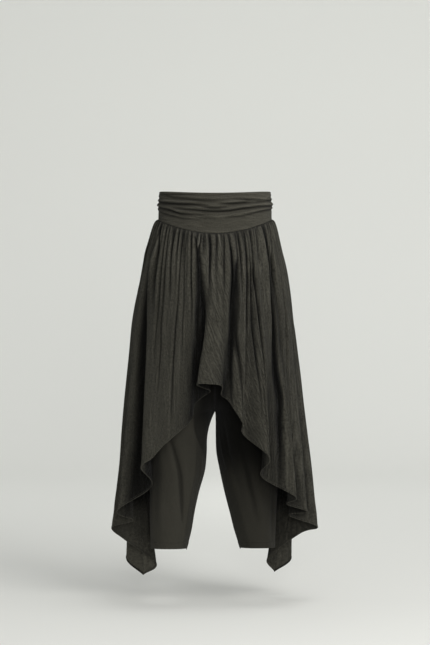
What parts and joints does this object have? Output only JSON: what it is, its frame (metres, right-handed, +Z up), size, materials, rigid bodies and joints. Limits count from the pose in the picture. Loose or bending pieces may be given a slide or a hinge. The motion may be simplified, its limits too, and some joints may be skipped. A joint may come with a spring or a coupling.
{
  "type": "harem pants with an overskirt",
  "caption": "Wide drop-crotch harem pants with narrow calf-length legs, a gathered handkerchief-hem overskirt and a wide draped waistband, filled out with no wearer.",
  "frame": {"origin": "centre of the waist, where the wearer's waist holds the band, 36 mm below the rim at the side seams", "axes": "+Z up, +Y to the garment's back (the front faces -Y), +X to the right of someone who looks at the front"},
  "size_m": [0.502, 0.3419, 0.9504],
  "materials": {
    "overskirt_cloth": "dark olive-grey crinkled cotton gauze, matte",
    "band_cloth": "the same cotton in two layers, draped into folds, matte",
    "trouser_cloth": "dark olive-grey smooth cotton, matte"
  },
  "bodies": {
    "root": {"waistband_front": "band_cloth", "waistband_back": "band_cloth", "overskirt_front": "overskirt_cloth", "overskirt_back": "overskirt_cloth", "trouser_front_left": "trouser_cloth", "trouser_front_right": "trouser_cloth", "trouser_back_left": "trouser_cloth", "trouser_back_right": "trouser_cloth"}
  },
  "joints": []
}
